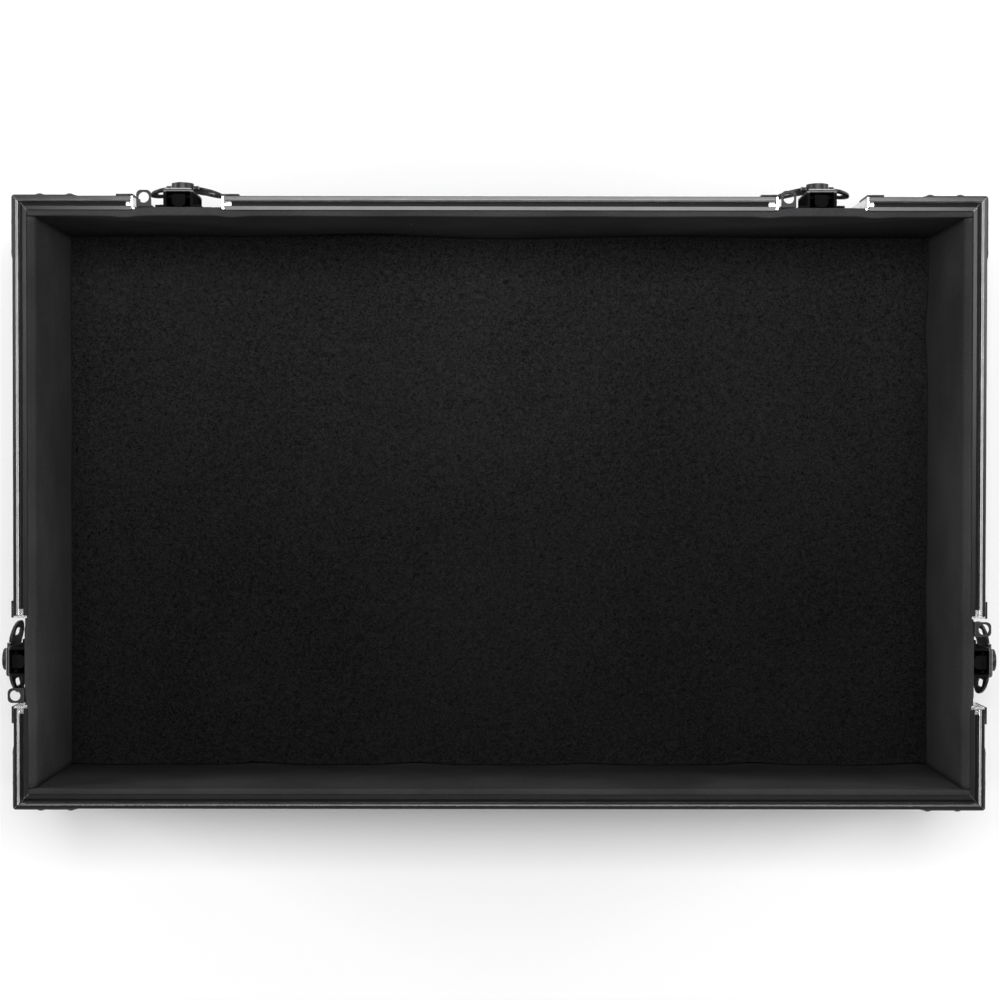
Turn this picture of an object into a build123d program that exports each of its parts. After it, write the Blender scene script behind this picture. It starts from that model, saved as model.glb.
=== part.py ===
"""Base of a flight case for a DJ controller, open, with its lid lifted off.

Plywood panels stand in double-angle aluminium edges. The rim is a grooved lid extrusion, mitred at its
corners and broken where four recessed twist latches sit: two in the front wall and one near the back of
each side wall. The walls are lined with foam and the floor with a felt mat.

Millimetres, +Z up, front wall towards -Y. The origin is at the middle of the footprint, latches included,
on the plane that the rubber feet stand on.

A wall's own frame has x along the wall to the right of someone facing it, y from the case's outer face
inwards, and z up. A latch's own frame is the same, with z from the rim's top and x from the latch's middle.
"""

import os
from math import asin, ceil, cos, hypot, sin

from build123d import *

# Case
case_width = 635.0
case_depth = 400.0
base_height = 111.0
panel_thickness = 7.0
end_foam_thickness = 3.6
side_foam_thickness = 5.0
foam_below_rim = 1.5
mat_pile = 2.0

# Aluminium edges
edge_wall = 1.2
edge_leg = 26.0
edge_inner_leg = 8.0
edge_corner_radius = 2.0
mitre_gap = 0.15
fit_gap = 0.3

# Rim extrusion, with the groove that takes the lid's tongue
rim_leg = 24.0
rim_inner_leg = 14.0
lip_width = 2.3
lip_bevel = 1.2
groove_width = 2.8
groove_depth = 4.6
ridge_drop = 0.4
rim_edge_break = 0.35
groove_end_radius = 2.0
groove_end_depth = 0.5

# Latches
front_latch_inset = 107.5
side_latch_inset = 96.0
dish_wall = 1.2
dish_flange_width = 80.0
dish_flange_height = 66.0
dish_flange_radius = 6.0
dish_overlap = 1.0
dish_back_drop = 3.0
pocket_width = 58.0
pocket_height = 54.0
pocket_radius = 8.0

housing_width = 19.2
housing_length = 36.0
housing_below_rim = 2.0
housing_stand_out = 5.3
housing_plate = 2.0
housing_side = 1.7
housing_end = 1.2
housing_foot = 5.2
housing_foot_wall = 1.4
housing_bend = 1.9
housing_rivet_inset = 6.0
housing_rivet_radius = 1.5
housing_rivet_head_radius = 2.4
housing_rivet_head_height = 1.0

spindle_below_rim = 20.0
spindle_shaft_radius = 4.9
spindle_flange_radius = 6.5
spindle_flange_wall = 1.1
spindle_head_radius = 7.3
spindle_head_wall = 5.4
spindle_dome_height = 0.9
cam_throw = 3.0
cam_radius = 2.0
running_gap = 0.2
shaft_clearance = 0.1

claw_wall = 2.0
claw_tail = 13.0
claw_below_rim = 4.0
claw_tongue_width = 9.0
claw_lip_reach = 8.0
claw_lip_wall = 2.0
claw_lip_radius = 3.2
claw_shoulder = 3.0
cam_slack = 1.0

lever_wall = 1.5
lever_pivot_height = 2.5
lever_plate_offset = 0.9
lever_pin_radius = 0.9
lever_pin_clearance = 0.08
lever_eye_radius = 1.7
lever_arm_width = 3.0
lever_span = 48.5
lever_droop = 3.0
wing_length = 29.0
wing_width = 20.0
wing_drop = 17.5
wing_hole_x = 17.0
wing_hole_width = 5.2
wing_hole_length = 14.0
bridge_height = 9.0

eye_tab_x = 22.0
eye_tab_width = 9.6
eye_tab_reach = 3.8
eye_tab_wall = 1.5
eye_tab_radius = 3.0
eye_bracket_wall = 1.4
eye_bracket_height = 14.0
eye_hole_radius = 3.5

# Rivets, braces, ball corners and feet
rivet_radius = 2.0
rivet_hole_clearance = 0.1
rivet_head_radius = 3.5
rivet_head_height = 1.8
rivet_pitch = 110.0
rivet_end_margin = 20.0

brace_leg = 41.0
brace_height = 13.0
brace_wall = 0.9
brace_below_rim = 1.5
brace_end_radius = 4.0
brace_rivets = (16.0, 35.6)

corner_wall = 1.5
corner_leg = 38.0
corner_flange = 20.0
corner_end_radius = 6.0
ball_radius = 12.0
ball_inset = 3.0
corner_rivet_along = 30.0
corner_rivet_across = 13.0

foot_radius = 16.0
foot_taper = 2.0
foot_height = 12.0
foot_inset = 62.0
foot_recess_radius = 6.0
foot_recess_depth = 5.0
screw_radius = 2.0
screw_head_radius = 4.2
screw_head_height = 2.6
screw_bite = 5.0

# Worked out from the sizes above
wall_stack = panel_thickness + 2 * edge_wall
panel_back = edge_wall + panel_thickness
pocket_face = panel_back - dish_wall
bottom_z = foot_height - edge_wall
rim_z = bottom_z + base_height
panel_floor_z = bottom_z + panel_back
mat_top_z = bottom_z + wall_stack + mat_pile
rim_web_z = rim_z - groove_depth - edge_wall
groove_start = lip_width + lip_bevel
groove_end = groove_start + groove_width
hole_radius = rivet_radius + rivet_hole_clearance
housing_hole_radius = housing_rivet_radius + rivet_hole_clearance
cut_reach = case_width

front_latch_x = case_width / 2 - front_latch_inset
side_latch_y = case_depth / 2 - side_latch_inset
cutout_half = pocket_width / 2 + dish_wall + fit_gap
cutout_depth = pocket_height + dish_wall + fit_gap
latch_rivet_x = (pocket_width / 2 + dish_wall + dish_flange_width / 2) / 2
latch_rivet_low_z = -(pocket_height + dish_wall + dish_flange_height) / 2
latch_rivet_points = [
    (side * x, z)
    for side in (-1, 1)
    for x, z in (
        (latch_rivet_x, -(rim_leg + dish_flange_height) / 2 + dish_flange_radius),
        (latch_rivet_x - dish_flange_radius, latch_rivet_low_z),
    )
]

spindle_z = -spindle_below_rim
plate_inner_y = housing_plate - housing_stand_out
head_y = -housing_stand_out - running_gap
dome_y = head_y - spindle_head_wall
flange_y = plate_inner_y + running_gap
claw_front_y = flange_y + spindle_flange_wall + running_gap
claw_back_y = claw_front_y + claw_wall
pivot_y = -housing_stand_out - lever_pivot_height
lever_y = pivot_y - lever_plate_offset
cam_z = spindle_z - cam_throw
housing_mid_z = -housing_below_rim - housing_length / 2
housing_rivet_x = housing_width / 2 + housing_foot / 2
housing_rivet_points = [
    (side * housing_rivet_x, housing_mid_z + end * (housing_length / 2 - housing_rivet_inset))
    for side in (-1, 1)
    for end in (-1, 1)
]
eye_rivet_point = (eye_tab_x, -(eye_bracket_height + eye_tab_wall) / 2)
lever_reach = spindle_dome_height + spindle_head_wall + running_gap + housing_stand_out

# The front latches stand out further than the ball corners at the back, which moves the footprint's middle
ball_reach = ball_radius - ball_inset
origin_shift_y = (lever_reach - ball_reach) / 2

# Each wall's turn about Z, its outer face's distance from the middle of the case, its length,
# and where its latches are along it
walls = {
    "front": (0, case_depth / 2, case_width, (-front_latch_x, front_latch_x)),
    "right": (90, case_width / 2, case_depth, (side_latch_y,)),
    "back": (180, case_depth / 2, case_width, ()),
    "left": (-90, case_width / 2, case_depth, (-side_latch_y,)),
}
latch_names = {
    ("front", 0): "front_left",
    ("front", 1): "front_right",
    ("right", 0): "right",
    ("left", 0): "left",
}
corner_turns = {"front_left": 0, "front_right": 90, "back_right": 180, "back_left": -90}


def wall_place(wall):
    """Where a wall's own frame lies in the case."""
    turn, out, _, _ = walls[wall]
    return Location((0, 0, 0), (0, 0, turn)) * Location((0, -out, 0))


def latch_place(wall, x):
    return wall_place(wall) * Location((x, 0, rim_z))


def corner_place(turn):
    """Where a corner's own frame lies: x and y run inwards from the vertical edge."""
    across, deep = (case_width, case_depth) if turn % 180 == 0 else (case_depth, case_width)
    return Location((0, 0, 0), (0, 0, turn)) * Location((-across / 2, -deep / 2, 0))


def save(name, *shapes):
    """Writes one node, moved so that the footprint's middle is the origin."""
    solids = [solid for shape in shapes for solid in shape.solids()]
    piece = solids[0] if len(solids) == 1 else Compound(solids)
    piece = piece.moved(Location((0, origin_shift_y, 0)))
    piece.label = name
    export_step(piece, f"parts/{name}.step")
    print(f"{name}: {len(solids)} solid(s), {sum(s.volume for s in solids) / 1000:.2f} cm3")


def span(low, high, near, far, bottom, top, mode=Mode.ADD):
    """A box between two corners."""
    with Locations((low, near, bottom)):
        Box(high - low, far - near, top - bottom, align=(Align.MIN, Align.MIN, Align.MIN), mode=mode)


def drill(points, radius):
    """Round holes along Y through the whole part, at (x, z)."""
    if points:
        with BuildSketch(Plane.XZ) as holes:
            with Locations(*points):
                Circle(radius)
        extrude(holes.sketch, amount=cut_reach, both=True, mode=Mode.SUBTRACT)


def spread(low, high):
    """Evenly spaced rivet places from low to high, about a pitch apart."""
    count = max(2, ceil((high - low) / rivet_pitch) + 1)
    return [low + (high - low) * i / (count - 1) for i in range(count)]


def rim_spans(wall):
    """The rim's lengths on a wall: (start, end, mitred at the start, mitred at the end)."""
    _, _, length, latches = walls[wall]
    stops = [-length / 2]
    for x in latches:
        stops += [x - cutout_half, x + cutout_half]
    stops.append(length / 2)
    pairs = list(zip(stops[::2], stops[1::2]))
    return [(a, b, a == -length / 2, b == length / 2) for a, b in pairs]


def rim_rivet_points(wall):
    points = []
    for start, end, corner_start, corner_end in rim_spans(wall):
        flange_over = dish_flange_width / 2 - cutout_half
        low = start + rivet_end_margin + (brace_leg if corner_start else flange_over)
        high = end - rivet_end_margin - (brace_leg if corner_end else flange_over)
        if high > low:
            places = spread(low, high)
        else:
            places = [(low + high) / 2]
        points += [(x, rim_z - rim_leg / 2) for x in places]
    return points


def edge_rivet_places(wall):
    length = walls[wall][2]
    end = length / 2 - corner_leg - rivet_end_margin
    return spread(-end, end)


edge_rivet_across = (wall_stack + edge_leg) / 2


def edge_rivet_points(wall):
    return [(x, bottom_z + edge_rivet_across) for x in edge_rivet_places(wall)]


def upright_rivet_points(wall):
    length = walls[wall][2]
    z = (bottom_z + corner_leg + rim_z - rim_leg) / 2
    return [(side * (length / 2 - edge_rivet_across), z) for side in (-1, 1)]


def brace_rivet_points(wall):
    length = walls[wall][2]
    z = rim_z - brace_below_rim - brace_height / 2
    return [(side * (length / 2 - along), z) for side in (-1, 1) for along in brace_rivets]


def ball_rivet_points(wall):
    length = walls[wall][2]
    return [
        (side * (length / 2 - along), bottom_z + up)
        for side in (-1, 1)
        for along, up in (
            (corner_rivet_along, corner_rivet_across),
            (corner_rivet_across, corner_rivet_along),
        )
    ]


def latch_flange_points(wall):
    return [(x + dx, rim_z + dz) for x in walls[wall][3] for dx, dz in latch_rivet_points]


def wall_holes(wall):
    """Every rivet that goes through a wall's panel, as (x, z)."""
    return (
        rim_rivet_points(wall)
        + edge_rivet_points(wall)
        + upright_rivet_points(wall)
        + brace_rivet_points(wall)
        + ball_rivet_points(wall)
        + latch_flange_points(wall)
    )


def floor_holes(wall):
    """Rivets through the bottom panel along one wall, as (x, y) in the wall's frame."""
    length = walls[wall][2]
    corner = [(side * (length / 2 - corner_rivet_along), corner_rivet_across) for side in (-1, 1)]
    return [(x, edge_rivet_across) for x in edge_rivet_places(wall)] + corner


def cut_latch_openings(wall):
    """Takes the latch cut-outs from a wall piece."""
    for x in walls[wall][3]:
        with BuildSketch(Plane.XZ) as opening:
            with Locations((x, rim_z - cutout_depth)):
                Rectangle(2 * cutout_half, 2 * cutout_depth, align=(Align.CENTER, Align.MIN))
            fillet(opening.vertices().group_by(Axis.Y)[0], pocket_radius + dish_wall)
        extrude(opening.sketch, amount=cut_reach, both=True, mode=Mode.SUBTRACT)


def make_wall_panel(wall):
    half = walls[wall][2] / 2 - wall_stack
    with BuildPart() as panel:
        span(-half, half, edge_wall, panel_back, bottom_z + wall_stack, rim_web_z)
        cut_latch_openings(wall)
        drill(wall_holes(wall), hole_radius)
    return panel.part


def make_bottom_panel():
    with BuildPart() as panel:
        across, deep = case_width / 2 - wall_stack, case_depth / 2 - wall_stack
        span(-across, across, -deep, deep, bottom_z + edge_wall, panel_floor_z)
        for wall, (turn, out, _, _) in walls.items():
            for x, y in floor_holes(wall):
                spot = Location((0, 0, 0), (0, 0, turn)) * Location((x, y - out, 0))
                with Locations(spot):
                    Cylinder(hole_radius, cut_reach, mode=Mode.SUBTRACT)
        with Locations(*[(x, y, bottom_z + edge_wall) for x, y in foot_points()]):
            Cylinder(
                screw_radius,
                screw_bite,
                align=(Align.CENTER, Align.CENTER, Align.MIN),
                mode=Mode.SUBTRACT,
            )
    return panel.part


def edge_section():
    """Section of the double-angle edge, from its outer corner: two outer legs, a tube and two inner legs."""
    lowest = (Align.MIN, Align.MIN)
    Rectangle(edge_leg, edge_wall, align=lowest)
    Rectangle(edge_wall, edge_leg, align=lowest)
    Rectangle(wall_stack, wall_stack, align=lowest)
    with Locations((wall_stack, panel_back)):
        Rectangle(edge_inner_leg, edge_wall, align=lowest)
    with Locations((panel_back, wall_stack)):
        Rectangle(edge_wall, edge_inner_leg, align=lowest)
    with Locations((edge_wall, edge_wall)):
        Rectangle(panel_thickness, panel_thickness, align=lowest, mode=Mode.SUBTRACT)
    outer_corner = vertices().sort_by_distance((0, 0))[0]
    fillet(outer_corner, edge_corner_radius)


def cut_mitre(x, side):
    """Cuts the end at x along the 45 degree mitre that meets the next wall. side is -1 or 1."""
    face = Plane(origin=(x - side * mitre_gap, 0, 0), z_dir=(-side, -1, 0))
    split(bisect_by=face, keep=Keep.TOP)


def make_bottom_edge(wall):
    length = walls[wall][2]
    with BuildPart() as edge:
        with BuildSketch(Plane.YZ.offset(-length / 2).shift_origin((-length / 2, 0, bottom_z))):
            edge_section()
        extrude(amount=length)
        cut_mitre(-length / 2, -1)
        cut_mitre(length / 2, 1)
        drill(edge_rivet_points(wall) + ball_rivet_points(wall), hole_radius)
        for x, y in floor_holes(wall):
            with Locations((x, y, bottom_z)):
                Cylinder(hole_radius, 4 * edge_wall, mode=Mode.SUBTRACT)
    return edge.part


def make_upright_edge():
    """A vertical edge in the front left corner's frame."""
    low = bottom_z + edge_leg + fit_gap
    high = rim_z - rim_leg - fit_gap
    rivet_z = (bottom_z + corner_leg + rim_z - rim_leg) / 2
    with BuildPart() as edge:
        with BuildSketch(Plane.XY.offset(low)):
            edge_section()
        extrude(amount=high - low)
        holes = [(edge_rivet_across, rivet_z), (corner_rivet_across, bottom_z + corner_rivet_along)]
        for along, z in holes:
            with Locations(
                Location((along, 0, z), (90, 0, 0)),
                Location((0, along, z), (0, 90, 0)),
            ):
                Cylinder(hole_radius, 4 * edge_wall, mode=Mode.SUBTRACT)
    return edge.part


def make_rim(wall, start, end, mitre_start, mitre_end):
    """One length of the grooved rim: a lip outside, the groove, a ridge inside, and a leg down each face."""
    ridge_z = rim_z - ridge_drop
    bend = rim_edge_break
    with BuildPart() as rim:
        with BuildSketch(Plane.YZ.offset(start)):
            with BuildLine():
                Polyline(
                    (0, rim_z - rim_leg),
                    (0, rim_z - bend),
                    (bend, rim_z),
                    (lip_width, rim_z),
                    (groove_start, rim_z - lip_bevel),
                    (groove_start, rim_z - groove_depth),
                    (groove_end, rim_z - groove_depth),
                    (groove_end, ridge_z - bend),
                    (groove_end + bend, ridge_z),
                    (wall_stack - bend, ridge_z),
                    (wall_stack, ridge_z - bend),
                    (wall_stack, rim_z - rim_inner_leg),
                    (panel_back, rim_z - rim_inner_leg),
                    (panel_back, rim_web_z),
                    (edge_wall, rim_web_z),
                    (edge_wall, rim_z - rim_leg),
                    close=True,
                )
            make_face()
        extrude(amount=end - start)
        if mitre_start:
            cut_mitre(start, -1)
        if mitre_end:
            cut_mitre(end, 1)
        drill(rim_rivet_points(wall) + brace_rivet_points(wall), hole_radius)
        open_ends = [x for x, mitred in ((start, mitre_start), (end, mitre_end)) if not mitred]
        groove_middle = (groove_start + groove_end) / 2
        for x in open_ends:
            with Locations((x, groove_middle, rim_z - groove_depth)):
                Cylinder(groove_end_radius, 2 * groove_end_depth, mode=Mode.SUBTRACT)
    return rim.part


def make_brace():
    """The angle that ties two mitred rims together, in a corner's frame."""
    top = rim_z - brace_below_rim
    with BuildPart() as brace:
        with BuildSketch(Plane.XY.offset(top - brace_height)):
            with Locations((-brace_wall, -brace_wall)):
                Rectangle(brace_leg + brace_wall, brace_wall, align=(Align.MIN, Align.MIN))
                Rectangle(brace_wall, brace_leg + brace_wall, align=(Align.MIN, Align.MIN))
        extrude(amount=brace_height)
        upright = brace.edges().filter_by(Axis.Z)
        fillet(upright.sort_by_distance((-brace_wall, -brace_wall, top))[0], edge_corner_radius)
        tips = brace.edges().filter_by(Axis.Y).group_by(Axis.X)[-1]
        tips += brace.edges().filter_by(Axis.X).group_by(Axis.Y)[-1]
        fillet(tips, brace_end_radius)
        for along in brace_rivets:
            with Locations(
                Location((along, 0, top - brace_height / 2), (90, 0, 0)),
                Location((0, along, top - brace_height / 2), (0, 90, 0)),
            ):
                Cylinder(hole_radius, 4 * brace_wall, mode=Mode.SUBTRACT)
    return brace.part


def make_ball_corner():
    """A pressed three-legged corner with its ball, in a corner's frame, around the bottom corner."""
    low = -corner_wall
    with BuildPart() as corner:
        for reach in ((1, 0, 0), (0, 1, 0), (0, 0, 1)):
            x, y, z = [corner_leg if r else corner_flange for r in reach]
            span(low, x, low, y, bottom_z + low, bottom_z + z)
        with Locations((ball_inset, ball_inset, bottom_z + ball_inset)):
            Sphere(ball_radius)
        span(0, case_width, 0, case_width, bottom_z, bottom_z + case_width, mode=Mode.SUBTRACT)
        ends = [
            edge
            for edge in corner.edges()
            if abs(edge.length - corner_wall) < 0.01
            and hypot(*(max(0, c) for c in (edge @ 0.5) - Vector(0, 0, bottom_z)))
            > hypot(corner_leg, corner_flange) - corner_wall
        ]
        fillet(ends, corner_end_radius)
        for along, across in (
            (corner_rivet_along, corner_rivet_across),
            (corner_rivet_across, corner_rivet_along),
        ):
            with Locations(
                Location((along, 0, bottom_z + across), (90, 0, 0)),
                Location((0, along, bottom_z + across), (0, 90, 0)),
                Location((along, across, bottom_z)),
            ):
                Cylinder(hole_radius, 4 * corner_wall, mode=Mode.SUBTRACT)
    return corner.part


def dome_middle(radius, height):
    """The point halfway along a dome's profile: how far out from its axis, and how far up from its rim."""
    sphere_radius = (radius**2 + height**2) / (2 * height)
    half_angle = asin(radius / sphere_radius) / 2
    return sphere_radius * sin(half_angle), height - sphere_radius * (1 - cos(half_angle))


def make_rivet(stack, radius=rivet_radius, head_radius=rivet_head_radius, head_height=rivet_head_height):
    """A rivet along Y through a stack of material, with its head's underside at y = 0, towards -Y."""
    out, up = dome_middle(head_radius, head_height)
    with BuildPart() as rivet:
        with BuildSketch(Plane.XY):
            with BuildLine():
                Polyline(
                    (0, -head_height),
                    (0, stack),
                    (radius, stack),
                    (radius, 0),
                    (head_radius, 0),
                )
                ThreePointArc((head_radius, 0), (out, -up), (0, -head_height))
            make_face()
        revolve(axis=Axis.Y)
    return rivet.part


def make_foam(wall):
    """A wall's foam lining, which stands on the mat. Side linings fit between the front and back ones."""
    at_end = wall in ("front", "back")
    thickness = end_foam_thickness if at_end else side_foam_thickness
    half = walls[wall][2] / 2 - wall_stack - (0 if at_end else end_foam_thickness)
    with BuildPart() as foam:
        span(-half, half, wall_stack, wall_stack + thickness, mat_top_z, rim_z - foam_below_rim)
    return foam.part


def make_mat():
    """Felt-faced mat: it lies on the bottom panel and laps over the edges' inner legs."""
    legs_z = bottom_z + wall_stack
    across, deep = case_width / 2 - wall_stack, case_depth / 2 - wall_stack
    step = edge_inner_leg + fit_gap
    with BuildPart() as mat:
        span(-across, across, -deep, deep, legs_z, mat_top_z)
        span(step - across, across - step, step - deep, deep - step, panel_floor_z, legs_z)
    return mat.part


def foot_points():
    x, y = case_width / 2 - foot_inset, case_depth / 2 - foot_inset
    return [(-x, -y), (x, -y), (x, y), (-x, y)]


def make_foot():
    with BuildPart() as foot:
        with BuildSketch(Plane.XY):
            Circle(foot_radius - foot_taper)
        with BuildSketch(Plane.XY.offset(foot_height)):
            Circle(foot_radius)
        loft()
        with Locations((0, 0, 0)):
            Cylinder(
                foot_recess_radius,
                foot_recess_depth,
                align=(Align.CENTER, Align.CENTER, Align.MIN),
                mode=Mode.SUBTRACT,
            )
            Cylinder(screw_radius + rivet_hole_clearance, 4 * foot_height, mode=Mode.SUBTRACT)
    return foot.part


def make_foot_screw():
    with BuildPart() as screw:
        with Locations((0, 0, foot_recess_depth)):
            Cylinder(
                screw_head_radius,
                screw_head_height,
                align=(Align.CENTER, Align.CENTER, Align.MAX),
            )
            Cylinder(
                screw_radius,
                foot_height - foot_recess_depth + screw_bite,
                align=(Align.CENTER, Align.CENTER, Align.MIN),
            )
    return screw.part


def rounded_pocket(width, depth, radius):
    """Outline of the dish's recess, open at the top, in the XZ plane of the latch's frame."""
    with Locations((0, -depth)):
        Rectangle(width, 2 * depth, align=(Align.CENTER, Align.MIN))
    fillet(vertices().group_by(Axis.Y)[0], radius)


def make_dish():
    """Pressed recess: a flange over the rim that steps in onto the panel, and a pocket open at the top.

    The pocket's back stops short of the rim's top, where the foam laps over it.
    """
    step_z = -rim_leg - running_gap
    with BuildPart() as dish:
        half = dish_flange_width / 2
        span(-half, half, -dish_wall, 0, step_z - dish_overlap, 0)
        span(-half, half, 0, dish_wall, -dish_flange_height, step_z)
        low_corners = dish.edges().filter_by(Axis.Y).group_by(Axis.Z)[0]
        fillet(low_corners, dish_flange_radius)
        with BuildSketch(Plane.XZ.offset(-panel_back)):
            rounded_pocket(
                pocket_width + 2 * dish_wall, pocket_height + dish_wall, pocket_radius + dish_wall
            )
        extrude(amount=panel_back)
        span(-half, half, -dish_wall, panel_back, 0, 3 * pocket_height, mode=Mode.SUBTRACT)
        with BuildSketch(Plane.XZ.offset(-pocket_face)):
            rounded_pocket(pocket_width, pocket_height, pocket_radius)
        extrude(amount=2 * panel_back, mode=Mode.SUBTRACT)
        span(-half, half, pocket_face, panel_back, -dish_back_drop, 0, mode=Mode.SUBTRACT)
        drill(latch_rivet_points + [eye_rivet_point], hole_radius)
        drill(housing_rivet_points, housing_hole_radius)
    return dish.part


def make_housing():
    """The channel that guides the claw: a plate with the spindle's hole, two sides, an end and two feet."""
    half = housing_width / 2
    low, high = -housing_below_rim - housing_length, -housing_below_rim
    with BuildPart() as housing:
        span(-half, half, -housing_stand_out, pocket_face, low, high)
        outer = housing.edges().filter_by(Axis.Z).group_by(Axis.Y)[0]
        fillet(outer, housing_bend)
        inner = half - housing_side
        span(-inner, inner, plate_inner_y, pocket_face, low + housing_end, high, mode=Mode.SUBTRACT)
        for side in (-1, 1):
            foot_x = sorted((side * half, side * (half + housing_foot)))
            span(*foot_x, pocket_face - housing_foot_wall, pocket_face, low, high)
        drill(housing_rivet_points, housing_hole_radius)
        drill([(0, spindle_z)], spindle_shaft_radius + shaft_clearance)
    return housing.part


def make_spindle():
    """Twisted by the lever: a head outside the plate, a flange inside it, and the cam that lifts the claw."""
    out, up = dome_middle(spindle_head_radius, spindle_dome_height)
    with BuildPart() as spindle:
        with BuildSketch(Plane.XY.offset(spindle_z)):
            with BuildLine():
                Polyline(
                    (0, dome_y - spindle_dome_height),
                    (0, flange_y + spindle_flange_wall),
                    (spindle_flange_radius, flange_y + spindle_flange_wall),
                    (spindle_flange_radius, flange_y),
                    (spindle_shaft_radius, flange_y),
                    (spindle_shaft_radius, head_y),
                    (spindle_head_radius, head_y),
                    (spindle_head_radius, dome_y),
                )
                ThreePointArc(
                    (spindle_head_radius, dome_y),
                    (out, dome_y - up),
                    (0, dome_y - spindle_dome_height),
                )
            make_face()
        revolve(axis=Axis((0, 0, spindle_z), (0, 1, 0)))
        with BuildSketch(Plane.XZ.offset(-claw_back_y)):
            with Locations((0, cam_z)):
                Circle(cam_radius)
        extrude(amount=claw_back_y - flange_y)
        with Locations(Location((0, pivot_y, spindle_z), (0, 90, 0))):
            Cylinder(lever_pin_radius, 4 * spindle_head_radius, mode=Mode.SUBTRACT)
    return spindle.part


def make_claw():
    """Slides in the housing on the cam, and hooks over the lid's keeper with its lip. Shown let down."""
    half = housing_width / 2 - housing_side - fit_gap
    tongue = claw_tongue_width / 2
    low = spindle_z - claw_tail
    top = -claw_below_rim
    shoulder_z = top - claw_lip_wall - claw_shoulder
    with BuildPart() as claw:
        span(-half, half, claw_front_y, claw_back_y, low, shoulder_z)
        span(-tongue, tongue, claw_front_y, claw_back_y, low, top)
        lip_end = claw_front_y + claw_lip_reach
        span(-tongue, tongue, claw_front_y, lip_end, top - claw_lip_wall, top)
        lip_corners = claw.edges().filter_by(Axis.Z).group_by(Axis.Y)[-1]
        fillet(lip_corners, claw_lip_radius)
        slot_half = cam_throw + cam_radius + fit_gap
        slot_rise = cam_radius + cam_slack
        with BuildSketch(Plane.XZ):
            with Locations((0, cam_z)):
                RectangleRounded(2 * slot_half, 2 * slot_rise, cam_radius)
        extrude(amount=cut_reach, both=True, mode=Mode.SUBTRACT)
    return claw.part


def make_lever():
    """The butterfly: two eyes on the pin and two holed wings that droop towards the wall, hanging down."""
    inner = spindle_head_radius + fit_gap
    arm_mid = inner + lever_arm_width / 2
    half = lever_span / 2
    flat = inner + lever_arm_width
    wing_x = half - wing_width / 2
    wing_z = spindle_z - wing_drop
    low, high = wing_z - wing_length / 2, spindle_z
    with BuildPart() as lever:
        with BuildSketch(Plane.XY.offset(low)):
            with BuildLine():
                Polyline(
                    (0, lever_y - lever_wall / 2),
                    (flat, lever_y - lever_wall / 2),
                    (half, lever_y + lever_droop - lever_wall / 2),
                    (half, lever_y + lever_droop + lever_wall / 2),
                    (flat, lever_y + lever_wall / 2),
                    (0, lever_y + lever_wall / 2),
                    close=True,
                )
            make_face()
            mirror(about=Plane.YZ)
        extrude(amount=high - low)
        with BuildSketch(Plane.XZ) as outline:
            for side in (-1, 1):
                with Locations((side * wing_x, wing_z)):
                    Ellipse(wing_width / 2, wing_length / 2)
                with Locations((side * arm_mid, (spindle_z + wing_z) / 2)):
                    Rectangle(lever_arm_width, spindle_z - wing_z)
            with Locations((0, wing_z)):
                Rectangle(2 * wing_x, bridge_height)
            for side in (-1, 1):
                with Locations((side * wing_hole_x, wing_z)):
                    SlotOverall(wing_hole_length, wing_hole_width, rotation=90, mode=Mode.SUBTRACT)
            with Locations((0, spindle_z)):
                Circle(inner, mode=Mode.SUBTRACT)
        extrude(amount=cut_reach, both=True, mode=Mode.INTERSECT)
        for side in (-1, 1):
            with Locations(Location((side * arm_mid, pivot_y, spindle_z), (0, 90, 0))):
                Cylinder(lever_eye_radius, lever_arm_width)
        with Locations(Location((0, pivot_y, spindle_z), (0, 90, 0))):
            Cylinder(lever_pin_radius + lever_pin_clearance, lever_span, mode=Mode.SUBTRACT)
    return lever.part


def make_lever_pin():
    length = 2 * (spindle_head_radius + fit_gap + lever_arm_width + fit_gap)
    with BuildPart() as pin:
        with Locations(Location((0, pivot_y, spindle_z), (0, 90, 0))):
            Cylinder(lever_pin_radius, length)
    return pin.part


def make_padlock_eye():
    """Angle with a holed tab level with the rim, for a padlock through this tab and the lid's."""
    low_x = eye_tab_x - eye_tab_width / 2
    high_x = eye_tab_x + eye_tab_width / 2
    with BuildPart() as eye:
        span(low_x, high_x, -eye_tab_reach, pocket_face, -eye_tab_wall, 0)
        tab_corners = eye.edges().filter_by(Axis.Z).group_by(Axis.Y)[0]
        fillet(tab_corners, eye_tab_radius)
        span(low_x, high_x, pocket_face - eye_bracket_wall, pocket_face, -eye_bracket_height, 0)
        with Locations((eye_tab_x, eye_tab_width / 2 - eye_tab_reach, 0)):
            Cylinder(eye_hole_radius, 4 * eye_tab_wall, mode=Mode.SUBTRACT)
        drill([eye_rivet_point], hole_radius)
    return eye.part


def rivets_on_walls():
    """Rivets of the rims, edges, braces and ball corners on the walls, each in its place."""
    through_edge = make_rivet(panel_back)
    through_brace = make_rivet(panel_back + brace_wall)
    through_corner = make_rivet(panel_back + corner_wall)
    placed = []
    for wall in walls:
        groups = (
            (through_edge, 0, rim_rivet_points(wall)),
            (through_edge, 0, edge_rivet_points(wall)),
            (through_edge, 0, upright_rivet_points(wall)),
            (through_brace, -brace_wall, brace_rivet_points(wall)),
            (through_corner, -corner_wall, ball_rivet_points(wall)),
        )
        for rivet, y, points in groups:
            placed += [rivet.moved(wall_place(wall) * Location((x, y, z))) for x, z in points]
        for x, y in floor_holes(wall):
            at_corner = y == corner_rivet_across
            rivet = through_corner if at_corner else through_edge
            z = bottom_z - (corner_wall if at_corner else 0)
            placed.append(rivet.moved(wall_place(wall) * Location((x, y, z), (90, 0, 0))))
    return placed


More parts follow.
